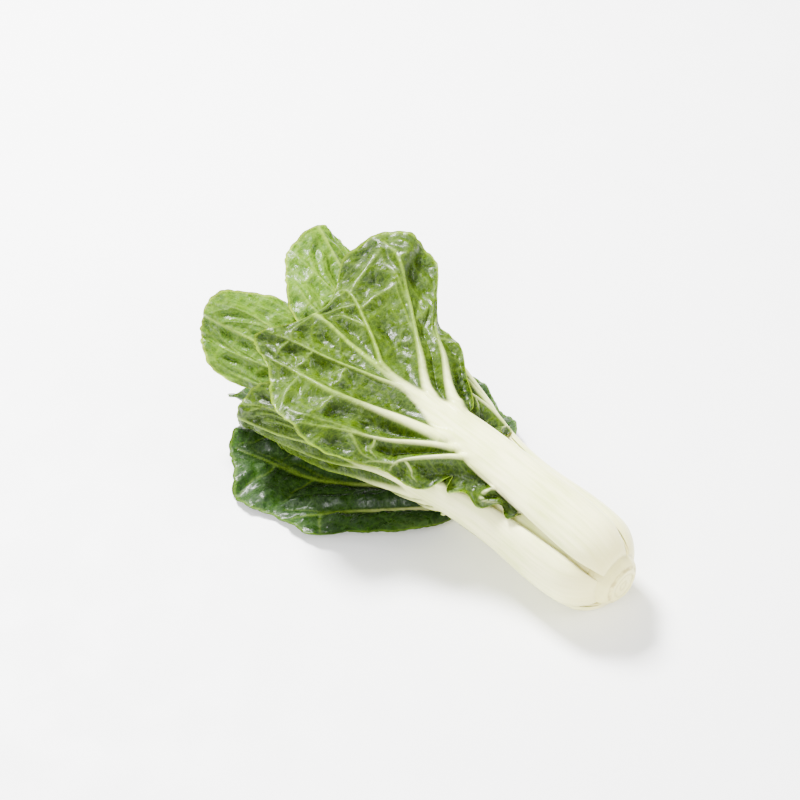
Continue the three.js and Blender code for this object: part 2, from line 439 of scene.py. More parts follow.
class VeinNet:
    """The ribs of a blade and the branches between them."""

    RIB_HEIGHT = 2.3
    RIB_WIDTH = 2.0
    RIB_REACH = 0.94
    MIDRIB_HEIGHT = 1.5
    MIDRIB_WIDTH = 0.9
    MIDRIB_REACH = 0.9
    BRANCH_HEIGHT = 0.75
    BRANCH_WIDTHS = (0.7, 0.3)
    BRANCH_POINTS = 12
    TIP_WIDTH = 0.34
    RIDGE_SHARPNESS = 2.6
    # Where the pale colour of a vein fades out, in its half widths
    PALE_EDGE = (0.3, 1.25)
    FARTHEST = 20.0
    REACH = 5.0
    POINTS = 26
    # Branches leave the bolder ribs where these have parted enough
    GAP = 0.17
    FAINT = 0.45
    CROWDED = 0.85
    BRANCH_STARTS = (0.26, 0.38, 0.5, 0.62, 0.74)
    LOWEST_BRANCH = 0.22
    ROOT_OVERLAP = 8.0
    # Each rib's blade line at the midrib, its line at the margin, and how bold it is
    LEFT_RIBS = (
        (0.06, 0.04, 0.25),
        (0.26, 0.33, 0.7),
        (0.37, 0.54, 0.8),
        (0.47, 0.8, 1.3),
        (0.74, 0.92, 0.5),
    )
    RIGHT_RIBS = ((0.3, 0.5, 1.25), (0.5, 0.8, 1.0), (0.78, 0.94, 0.5))

    def __init__(self, lines: BladeLines) -> None:
        """Lays the ribs and their branches.

        Args:
            lines: The blade lines that the ribs follow.
        """
        self.lines = lines
        form = lines.form
        self.size = form.depth_share
        rng = np.random.default_rng(int(form.phase * 100) + int(form.length))
        self.veins: list[Vein] = []
        for side, ribs in ((-1, self.LEFT_RIBS), (1, self.RIGHT_RIBS)):
            for root, tip, bold in ribs:
                self.rib(root, tip, side, bold, rng)
        self.end_of_midrib()

    def rib(self, root: float, tip: float, side: int, bold: float, rng: np.random.Generator) -> None:
        """Adds one rib with its branches.

        Args:
            root: The blade line that it leaves the midrib on.
            tip: The blade line that it reaches at the margin.
            side: -1 for the left side of the leaf, 1 for the right.
            bold: How thick it is.
            rng: Where the unevenness comes from.
        """
        out = np.linspace(0, self.RIB_REACH, self.POINTS)
        wander = 0.1 * self.GAP * np.sin(out * rng.uniform(5, 9) + rng.uniform(0, 6)) * out
        widths = self.size * mixed(self.RIB_WIDTH * bold, self.TIP_WIDTH, out**0.5)
        heights = self.size * self.RIB_HEIGHT * mixed(1, bold, 0.5) * (1 - out) ** 0.8
        self.trace(mixed(root, tip, out**0.8) + wander, out, side, widths, heights)
        self.join_midrib()
        starts = [s for s in self.BRANCH_STARTS if bold > self.FAINT and s > self.CROWDED - root]
        for number, start in enumerate(starts):
            way = 1 if (number + (side > 0)) % 2 else -1
            start += rng.uniform(-0.05, 0.05)
            self.branch(mixed(root, tip, start**0.8), start, side, way, rng)

    def branch(self, sweep: float, start: float, side: int, way: int, rng: np.random.Generator) -> None:
        """Adds a thinner vein that leaves a rib and curves towards the next one.

        Args:
            sweep: The rib's blade line.
            start: How far out the branch leaves the rib.
            side: -1 for the left side of the leaf, 1 for the right.
            way: 1 towards the tip of the leaf, -1 towards its root.
            rng: Where the unevenness comes from.
        """
        t = np.linspace(0, 1, self.BRANCH_POINTS)
        span = self.GAP * rng.uniform(0.5, 0.9) * min(sweep / 0.5, 1)
        bent = sweep + way * span * t ** rng.uniform(0.75, 1.1)
        bent += 0.05 * self.GAP * np.sin(9 * t + rng.uniform(0, 6)) * t
        out = np.minimum(start + rng.uniform(0.2, 0.32) * t ** rng.uniform(0.9, 1.2), 0.97)
        widths = self.size * mixed(*self.BRANCH_WIDTHS, t) * (1 - 0.3 * start)
        heights = self.size * self.BRANCH_HEIGHT * (1 - start) ** 0.5 * (1 - 0.8 * t)
        self.trace(np.clip(bent, self.LOWEST_BRANCH, 0.999), out, side, widths, heights)

    def trace(
        self, sweep: np.ndarray, out: np.ndarray, side: int, widths: np.ndarray, heights: np.ndarray
    ) -> None:
        """Adds a vein from places on the blade lines.

        Args:
            sweep: Blade line at each point.
            out: How far out each point is.
            side: -1 for the left side of the leaf, 1 for the right.
            widths: Half widths.
            heights: Heights.
        """
        along, across = self.lines.place(sweep, out, side)
        self.veins.append(Vein(np.stack([along, across], axis=-1), widths, heights))

    def end_of_midrib(self) -> None:
        """Carries the midrib on as a thin vein almost to the tip of the blade."""
        out = np.linspace(0, self.MIDRIB_REACH, self.POINTS)
        widths = self.size * mixed(self.MIDRIB_WIDTH, self.TIP_WIDTH, out)
        heights = self.size * self.MIDRIB_HEIGHT * (1 - out)
        self.trace(np.full(self.POINTS, 1.0), out, 1, widths, heights)
        self.join_midrib()

    def join_midrib(self) -> None:
        """Carries the last vein on into the midrib, so that it parts from it at a low angle."""
        vein = self.veins[-1]
        start = vein.points[0] * (1, 0.4) - (self.ROOT_OVERLAP * self.size, 0)
        self.veins[-1] = Vein(
            np.vstack([start, vein.points]),
            np.append(vein.widths[0], vein.widths),
            np.append(0.4 * vein.heights[0], vein.heights),
        )

    def relief(self, flat: np.ndarray) -> tuple[np.ndarray, np.ndarray, np.ndarray]:
        """What the veins do at flat places.

        Args:
            flat: Places as rows of along and across.

        Returns:
            The height of the ridges, how pale the veins make the place from 0 to 1, and the distance to
            the nearest vein.
        """
        height = np.zeros(len(flat))
        pale = np.zeros(len(flat))
        nearest = np.full(len(flat), self.FARTHEST)
        for vein in self.veins:
            low = vein.points.min(0) - self.REACH * 2
            high = vein.points.max(0) + self.REACH * 2
            close = np.nonzero(np.all((flat > low) & (flat < high), axis=1))[0]
            if not len(close):
                continue
            distance, width, rise = self.to_vein(flat[close], vein)
            ridge = rise * np.exp(-((distance / width) ** self.RIDGE_SHARPNESS))
            height[close] = (height[close] ** 3 + ridge**3) ** (1 / 3)
            bright = np.clip(rise / (self.RIB_HEIGHT * self.size), 0, 1) ** 0.7
            shade = (1 - smoothstep(distance / width, *self.PALE_EDGE)) * bright
            pale[close] = np.maximum(pale[close], shade)
            nearest[close] = np.minimum(nearest[close], np.maximum(distance - width, 0))
        return height, pale, nearest

    @staticmethod
    def to_vein(flat: np.ndarray, vein: Vein) -> tuple[np.ndarray, np.ndarray, np.ndarray]:
        """The distance from each place to a vein, with the vein's width and height there.

        Args:
            flat: Places as rows of along and across.
            vein: The vein.

        Returns:
            Distances, half widths and heights.
        """
        best = np.full(len(flat), 1e9)
        width = np.ones(len(flat))
        height = np.zeros(len(flat))
        for k in range(len(vein.points) - 1):
            a = vein.points[k]
            d = vein.points[k + 1] - a
            t = np.clip((flat - a) @ d / max(d @ d, 1e-9), 0, 1)
            distance = np.linalg.norm(flat - a - t[:, None] * d, axis=1)
            closer = distance < best
            best = np.where(closer, distance, best)
            width = np.where(closer, mixed(vein.widths[k], vein.widths[k + 1], t), width)
            height = np.where(closer, mixed(vein.heights[k], vein.heights[k + 1], t), height)
        return best, width, height


@dataclass(frozen=True)
class CellNet:
    """A net of uneven cells, each puffed up between the lines of the net."""

    size: float
    seed: int
    jitter: float = 0.85

    def centre(self, column: np.ndarray, row: np.ndarray) -> np.ndarray:
        """The centre of the cell in a column and row.

        Args:
            column: Whole numbers.
            row: Whole numbers.

        Returns:
            Flat places as rows.
        """
        mixed_up = column * 127.1 + row * 311.7 + self.seed * 74.7
        across = np.sin(mixed_up) * 43758.5453
        along = np.sin(mixed_up + 269.5) * 24634.6345
        shift = np.stack([across - np.floor(across), along - np.floor(along)], axis=-1) - 0.5
        return (np.stack([column, row], axis=-1) + 0.5 + self.jitter * shift) * self.size

    def edge_distance(self, flat: np.ndarray) -> np.ndarray:
        """The distance from each place to the nearest line of the net.

        Args:
            flat: Places as rows.

        Returns:
            Distances in the same unit as the places.
        """
        home = np.floor(flat / self.size)
        offsets = [(i, j) for i in range(-2, 3) for j in range(-2, 3)]
        centres = [self.centre(home[:, 0] + i, home[:, 1] + j) for i, j in offsets]
        distances = np.stack([np.linalg.norm(flat - c, axis=1) for c in centres])
        first = distances.argmin(0)
        stacked = np.stack(centres)
        own = stacked[first, np.arange(len(flat))]
        nearest = np.full(len(flat), 1e9)
        for other in stacked:
            d = other - own
            length = np.linalg.norm(d, axis=1)
            apart = length > 1e-6
            length = np.where(apart, length, 1)
            distance = np.einsum("ij,ij->i", (own + other) / 2 - flat, d) / length
            nearest = np.where(apart, np.minimum(nearest, distance), nearest)
        return np.maximum(nearest, 0)


class LeafMesh:
    """Builds one leaf as a closed mesh: a strip for its stalk and midrib, and a fan on each side."""

    HALF_THICK = 0.42
    RIM_HALF_THICK = 0.14
    ROOT_ROUNDING = 12.0
    ROOT_DROP = 2.6
    # Where the swelling is stated along the stalk, besides the midrib's end, and its shares of the thickness
    SWELL_PLACES = (0, 16, 60, 92)
    SWELL_SHARES = (0.55, 1, 0.86, 0.55, 0.2)
    LEAST_SWELL = 1.4
    SWELL_FADE = (-34, 4)
    INNER_SWELL = 0.4
    NECK_BEYOND = 12
    NECK_GLOW = (5, 40)
    QUILT_DEPTH = 2.2
    QUILT_REACH = 5.0
    PUCKER_DEPTH = 1.9
    BROAD_CELL = 8.5
    FINE_CELL = 3.1
    DIMPLE_DEPTH = 0.26
    FRILL_DEPTH = 0.75
    NET_WIDTH = 0.6
    MESH_WIDTH = 0.35
    RIM_FROM = 0.965
    # puff marks the pucker hollows and the neck, where the leaf's material paints darker shade
    MARKINGS = ("vein", "stalk", "puff", "net", "mesh", "rim")

    def __init__(self, form: LeafForm, grain: LeafGrain) -> None:
        """Lays the leaf out flat.

        Args:
            form: The leaf's sizes.
            grain: How finely it is divided.
        """
        self.form = form
        self.grain = grain
        self.surface = LeafSurface(form)
        self.lines = BladeLines(self.surface)
        self.flat = np.zeros((0, 2))
        self.out = np.zeros(0)
        self.quads: list[np.ndarray] = []
        self.strip = self.lay_strip()
        self.fans = {side: self.lay_fan(side) for side in (-1, 1)}

    def add_places(self, along: np.ndarray, across: np.ndarray, out: np.ndarray) -> np.ndarray:
        """Adds flat places.

        Args:
            along: Distances from the root.
            across: Distances from the midrib.
            out: 0 on the stalk to 1 on the margin.

        Returns:
            The numbers of the new places, in the shape of along.
        """
        first = len(self.flat)
        self.flat = np.vstack([self.flat, np.stack([along.ravel(), across.ravel()], axis=-1)])
        self.out = np.concatenate([self.out, out.ravel()])
        return first + np.arange(along.size).reshape(along.shape)

    def add_quads(self, grid: np.ndarray, turned: bool) -> None:
        """Adds the faces of a grid of places.

        Args:
            grid: Numbers of places by row and column.
            turned: True to wind the faces the other way.
        """
        corners = [grid[:-1, :-1], grid[:-1, 1:], grid[1:, 1:], grid[1:, :-1]]
        if turned:
            corners.reverse()
        self.quads.append(np.stack([c.ravel() for c in corners], axis=-1))

    def lay_strip(self) -> np.ndarray:
        """Lays the stalk and midrib, which end in one place at the tip.

        Returns:
            Numbers of places by row and column.
        """
        g = self.grain
        low = np.linspace(0, 1, g.rows, endpoint=False)
        sweep = np.linspace(0, 1, g.lines + 1)
        edges = [
            np.concatenate([low * self.lines.root_along(0.0, side), self.lines.root_along(sweep, side)])
            for side in (-1, 1)
        ]
        side = -np.cos(np.pi * np.linspace(0, 1, g.columns + 1))
        along = mixed(edges[0][:, None], edges[1][:, None], (side[None, :] + 1) / 2)
        across = self.surface.half_width(along) * side
        grid = self.add_places(along[:-1], across[:-1], np.zeros_like(along[:-1]))
        tip = self.add_places(along[-1:, :1], np.zeros((1, 1)), np.zeros((1, 1)))
        grid = np.vstack([grid, np.full((1, g.columns + 1), tip[0, 0])])
        self.add_quads(grid, False)
        return grid

    def lay_fan(self, side: int) -> np.ndarray:
        """Lays the blade on one side of the midrib.

        Args:
            side: -1 for the left side of the leaf, 1 for the right.

        Returns:
            Numbers of places by line and step.
        """
        g = self.grain
        lines = np.linspace(0, 1, g.lines + 1)
        sweep, out = np.meshgrid(lines, np.linspace(0, 1, g.steps + 1), indexing="ij")
        along, across = self.lines.place(sweep, out, side)
        roots = self.strip[g.rows :, 0 if side < 0 else -1][:, None]
        if side < 0:
            across[-1] = 0
            grid = np.hstack([roots, self.add_places(along[:, 1:], across[:, 1:], out[:, 1:])])
            self.tip_line = grid[-1]
        else:
            made = self.add_places(along[:-1, 1:], across[:-1, 1:], out[:-1, 1:])
            grid = np.vstack([np.hstack([roots[:-1], made]), self.tip_line[None, :]])
        self.add_quads(grid, side < 0)
        return grid

    def rim(self) -> np.ndarray:
        """Numbers of the places round the whole leaf, in order."""
        left = self.fans[-1]
        right = self.fans[1]
        rows = self.grain.rows
        loops = [
            self.strip[0, ::-1],
            self.strip[1:rows, 0],
            left[0],
            left[1:, -1],
            right[-2::-1, -1],
            right[0, -2::-1],
            self.strip[rows - 1 : 0 : -1, -1],
        ]
        return np.concatenate(loops)

    def stalk_profile(self) -> tuple[np.ndarray, np.ndarray]:
        """The swelling of the stalk and midrib at each place.

        Returns:
            Depths in millimetres, and the white share from 0 in the blade to 1 on the stalk.
        """
        form = self.form
        along, across = self.flat.T
        half = self.surface.half_width(along)
        leafy = smoothstep(along, min(form.blade_start) - 12, max(form.blade_start) + 26)
        side = np.clip(np.abs(across) / np.maximum(half, 0.05), 0, 1)
        swell = np.clip(1 - side**2, 0, 1) ** mixed(0.5, 1.25, leafy)
        shares = np.array(self.SWELL_SHARES) * form.thick
        depth = through_stations((*self.SWELL_PLACES, form.midrib_end), shares, along)
        depth = np.maximum(depth, self.LEAST_SWELL) - STALK_EDGE_THICKNESS
        before, after = self.SWELL_FADE
        depth = depth * (1 - smoothstep(along, form.midrib_end + before, form.midrib_end + after))
        slim = mixed(1, 0.5, smoothstep(along, max(form.blade_start) + 8, form.midrib_end))
        beyond = np.abs(across) - half * slim
        white = 1 - smoothstep(beyond, mixed(0.4, -0.35 * half, leafy), mixed(1.0, 0.9, leafy))
        white = np.where((self.out == 0) & (along < min(form.blade_start)), 1, white)
        return depth * swell, white

    def neck_nearness(self) -> np.ndarray:
        """1 at the neck, where the stalk parts into ribs, falling to 0 a third of the blade away."""
        neck = sum(self.form.blade_start) / 2 + self.NECK_BEYOND
        along, across = self.flat.T
        distance = np.hypot(np.maximum(along - neck, 0), across)
        full, reach = self.NECK_GLOW
        return 1 - smoothstep(distance, full, reach * self.form.depth_share)

    def reliefs(self) -> dict[str, np.ndarray]:
        """Works out the relief and the markings at each flat place.

        Returns:
            Arrays by name: raised, swell, bent and thin for the shape, and the markings.
        """
        form = self.form
        size = form.depth_share
        ridge, pale, nearest = VeinNet(self.lines).relief(self.flat)
        swell, white = self.stalk_profile()
        seed = int(form.phase * 10) + int(form.turn)
        broad = CellNet(self.BROAD_CELL * mixed(0.75, 1, size), seed).edge_distance(self.flat * (0.75, 1))
        fine = CellNet(self.FINE_CELL, seed + 5).edge_distance(self.flat)
        blade = smoothstep(self.out, 0.0, 0.16) * (self.out > 0)
        blade_share = smoothstep(self.flat[:, 0], max(form.blade_start), max(form.blade_start) + 30)
        near_neck = self.neck_nearness()
        inside = 1 - smoothstep(self.out, 0.86, 1.0)
        clear = smoothstep(nearest, 0.1, 2.6)
        quilt = self.QUILT_DEPTH * (0.35 - smoothstep(nearest, 0, self.QUILT_REACH))
        quilt = quilt * np.sin(np.pi * self.out) ** 0.6
        quilt = quilt * (1 + 0.7 * near_neck)
        # puff sinks the pucker hollows and the neck, and the leaf's material paints the same places darker as
        # shade
        puff = np.maximum(0.85 * smoothstep(broad, 0, 4.0), near_neck) * clear
        dimple = smoothstep(fine, 0, 1.1) * smoothstep(nearest, 0, 1.2)
        hollow = self.PUCKER_DEPTH * puff * mixed(0.35, 1, inside) + self.DIMPLE_DEPTH * dimple
        bent = size * (quilt - blade * hollow)
        near, around = self.surface.rim_place(*self.flat.T)
        frill = np.sin(17 * around + 3 * form.phase) + 0.6 * np.sin(29 * around + 5 * form.phase)
        bent = bent + self.FRILL_DEPTH * size * blade * near**5 * frill
        return {
            "raised": np.maximum(ridge, swell * 0.6) + 0.25 * np.minimum(ridge, swell * 0.6),
            "swell": swell,
            "bent": bent,
            "thin": mixed(self.HALF_THICK, self.RIM_HALF_THICK, smoothstep(self.out, 0.8, 1.0) ** 2),
            "vein": np.maximum(pale, white * blade_share),
            "stalk": np.maximum(white * mixed(1, near_neck, blade_share), pale * near_neck),
            "puff": puff * blade,
            "net": (1 - smoothstep(broad, 0.0, self.NET_WIDTH)) * blade,
            "mesh": (1 - smoothstep(fine, 0.0, self.MESH_WIDTH)) * blade,
            "rim": smoothstep(self.out, self.RIM_FROM, 1.0),
        }

    def sheets(self, relief: dict[str, np.ndarray]) -> tuple[np.ndarray, np.ndarray]:
        """Points of the outer and the inner face.

        Args:
            relief: What reliefs() gave.

        Returns:
            Two arrays of points in the head's own millimetres.
        """
        along, across = self.flat.T
        middle = self.surface.middle(along, across)
        outward = self.surface.outward(along, across)
        on_strip = self.out == 0
        edge = STALK_EDGE_THICKNESS / 2
        leafy = smoothstep(along, min(self.form.blade_start) - 5, max(self.form.blade_start) + 30)
        thin = np.where(on_strip, mixed(edge, self.HALF_THICK, leafy), relief["thin"])
        nose = np.sqrt(1 - (1 - np.clip(along / self.ROOT_ROUNDING, 0, 1)) ** 2)
        drop = relief["bent"] - self.ROOT_DROP * (1 - nose)
        outer = (thin + relief["raised"]) * nose + drop
        inner = drop - thin - self.INNER_SWELL * relief["swell"] * (1 - 0.8 * leafy)
        faces = [middle + outward * offset[:, None] for offset in (outer, inner)]
        for face, lowest in zip(faces, (0.0, 0.25)):
            face[:, 2] = np.maximum(face[:, 2], lowest)
        return faces[0], faces[1]

    def build(self, shift: Vector) -> bpy.types.Object:
        """Makes the leaf.

        Args:
            shift: From the head's own millimetres to the frame, in metres.

        Returns:
            The leaf, with the markings as attributes of its mesh.
        """
        relief = self.reliefs()
        outer, inner = self.sheets(relief)
        count = len(self.flat)
        outside = np.vstack(self.quads)
        rim = self.rim()
        after = np.roll(rim, -1)
        walls = np.stack([rim, rim + count, after + count, after], axis=-1)
        points = np.vstack([outer, inner])
        quads = np.vstack([outside, outside[:, ::-1] + count, walls])
        if volume_sign(points, quads) < 0:
            quads = quads[:, ::-1]
        mesh = bpy.data.meshes.new(self.form.name)
        mesh.from_pydata(points * MM + np.array(shift), [], without_repeats(quads))
        mesh.validate()
        for name in self.MARKINGS:
            add_numbers(mesh, name, np.tile(relief[name], 2))
        add_numbers(mesh, "upper", np.repeat([0.0, 1.0], count))
        place = np.column_stack([np.tile(self.flat, (2, 1)) * MM, np.repeat([0.0, 0.05], count)])
        place_of = mesh.attributes.new("flat", "FLOAT_VECTOR", "POINT")
        place_of.data.foreach_set("vector", place.astype(np.float32).ravel())
        mesh.shade_smooth()
        piece = bpy.data.objects.new(self.form.name, mesh)
        bpy.context.scene.collection.objects.link(piece)
        return piece


def volume_sign(points: np.ndarray, quads: np.ndarray) -> float:
    """Tells whether the faces of a closed mesh look outwards.

    Args:
        points: Corners, one row each.
        quads: Four corner numbers for each face.

    Returns:
        A number above 0 if they do.
    """
    a, b, c, d = (points[quads[:, k]] for k in range(4))
    return float(np.einsum("ij,ij->", a, np.cross(b, c)) + np.einsum("ij,ij->", a, np.cross(c, d)))


def without_repeats(quads: np.ndarray) -> list[list[int]]:
    """Turns four-cornered faces with a repeated corner into three-cornered ones.

    Args:
        quads: Four corner numbers for each face.

    Returns:
        The corner numbers of each face.
    """
    faces = []
    for quad in quads.tolist():
        corners = list(dict.fromkeys(quad))
        if len(corners) > 2:
            faces.append(corners)
    return faces


def add_numbers(mesh: bpy.types.Mesh, name: str, values: np.ndarray) -> None:
    """Stores one number a vertex.

    Args:
        mesh: The mesh.
        name: The attribute's name.
        values: One number for each vertex.
    """
    attribute = mesh.attributes.new(name, "FLOAT", "POINT")
    attribute.data.foreach_set("value", values.astype(np.float32))


def rgb(red: int, green: int, blue: int) -> Colour:
    """A colour as it looks on a screen, from 0 to 255, as the light values that shaders take.

    Args:
        red: Red share.
        green: Green share.
        blue: Blue share.

    Returns:
        The four numbers of a shader's colour.
    """
    shares = [v / 255 for v in (red, green, blue)]
    return (*[s / 12.92 if s <= 0.04045 else ((s + 0.055) / 1.055) ** 2.4 for s in shares], 1.0)


class ShaderBoard:
    """Adds the nodes of one material and links them."""

    def __init__(self, name: str) -> None:
        """Starts an empty material.

        Args:
            name: The material's name.
        """
        self.material = bpy.data.materials.new(name)
        self.material.use_nodes = True
        self.tree = self.material.node_tree
        self.tree.nodes.clear()

    def add(self, kind: str, **settings: object) -> bpy.types.Node:
        """Adds a node.

        Args:
            kind: The node's type.
            **settings: Properties set on it.

        Returns:
            The node.
        """
        node = self.tree.nodes.new(kind)
        for key, value in settings.items():
            setattr(node, key, value)
        return node

    def feed(self, socket: Socket, source: object) -> None:
        """Links a socket to another, or sets its value.

        Args:
            socket: The input.
            source: An output socket, a number or a colour.
        """
        if isinstance(source, Socket):
            self.tree.links.new(source, socket)
        else:
            socket.default_value = source

    def marking(self, name: str) -> Socket:
        """The number that the mesh stores under a name."""
        return self.add("ShaderNodeAttribute", attribute_name=name).outputs["Fac"]

    def places(self, name: str) -> Socket:
        """The vector that the mesh stores under a name."""
        return self.add("ShaderNodeAttribute", attribute_name=name).outputs["Vector"]

    def stretched(self, vector: Socket, scale: tuple[float, float, float]) -> Socket:
        """Scales a vector in its three directions.

        Args:
            vector: The vector.
            scale: Three factors.

        Returns:
            The scaled vector.
        """
        node = self.add("ShaderNodeVectorMath", operation="MULTIPLY")
        self.feed(node.inputs[0], vector)
        node.inputs[1].default_value = scale
        return node.outputs[0]

    def noise(self, vector: Socket, scale: float, detail: float = 3) -> Socket:
        """Soft noise between 0 and 1.

        Args:
            vector: Where to read it.
            scale: Bumps per metre.
            detail: How many finer layers it has.

        Returns:
            The noise.
        """
        node = self.add("ShaderNodeTexNoise")
        self.feed(node.inputs["Vector"], vector)
        node.inputs["Scale"].default_value = scale
        node.inputs["Detail"].default_value = detail
        return node.outputs["Fac"]

    def cells(self, vector: Socket, scale: float, feature: str) -> Socket:
        """The distance within a pattern of cells.

        Args:
            vector: Where to read it.
            scale: Cells per metre.
            feature: Which distance, as the node names it.

        Returns:
            The distance, as a share of a cell.
        """
        node = self.add("ShaderNodeTexVoronoi", feature=feature)
        self.feed(node.inputs["Vector"], vector)
        node.inputs["Scale"].default_value = scale
        return node.outputs["Distance"]

    def ranged(self, value: Socket, low: float, high: float, first: float = 0, last: float = 1) -> Socket:
        """Maps a number from one range to another, smoothly and clamped.

        Args:
            value: The number.
            low: Where the first range starts.
            high: Where it ends.
            first: What low becomes.
            last: What high becomes.

        Returns:
            The mapped number.
        """
        node = self.add("ShaderNodeMapRange", interpolation_type="SMOOTHSTEP")
        self.feed(node.inputs["Value"], value)
        for key, number in zip(("From Min", "From Max", "To Min", "To Max"), (low, high, first, last)):
            node.inputs[key].default_value = number
        return node.outputs["Result"]

    def maths(self, operation: str, first: object, second: object, third: object = 0.0) -> Socket:
        """Combines numbers.

        Args:
            operation: What to do, as the node names it.
            first: A number or socket.
            second: A number or socket.
            third: A number or socket, for the operations that take three.

        Returns:
            The result.
        """
        node = self.add("ShaderNodeMath", operation=operation)
        for socket, source in zip(node.inputs, (first, second, third)):
            self.feed(socket, source)
        return node.outputs[0]

    def mixed(self, share: object, first: object, second: object) -> Socket:
        """Mixes two colours.

        Args:
            share: How much of the second colour.
            first: A colour or socket.
            second: A colour or socket.

        Returns:
            The mixed colour.
        """
        node = self.add("ShaderNodeMix", data_type="RGBA")
        self.feed(node.inputs[0], share)
        self.feed(node.inputs[6], first)
        self.feed(node.inputs[7], second)
        return node.outputs[2]

    def bumped(self, height: Socket, strength: float, depth: float) -> Socket:
        """A normal with small bumps.

        Args:
            height: The bumps.
            strength: How strongly they tell.
            depth: Their depth in metres.

        Returns:
            The normal.
        """
        node = self.add("ShaderNodeBump")
        node.inputs["Strength"].default_value = strength
        node.inputs["Distance"].default_value = depth
        self.feed(node.inputs["Height"], height)
        return node.outputs["Normal"]

    def surface(self, linked: dict[str, Socket], fixed: dict[str, object]) -> bpy.types.Material:
        """Ends the material in one shader.

        Args:
            linked: Sockets that vary over the surface.
            fixed: Values that are the same all over.

        Returns:
            The material.
        """
        shader = self.add("ShaderNodeBsdfPrincipled")
        for key, value in fixed.items():
            shader.inputs[key].default_value = value
        for key, socket in linked.items():
            self.feed(shader.inputs[key], socket)
        end = self.add("ShaderNodeOutputMaterial")
        self.feed(end.inputs["Surface"], shader.outputs["BSDF"])
        return self.material


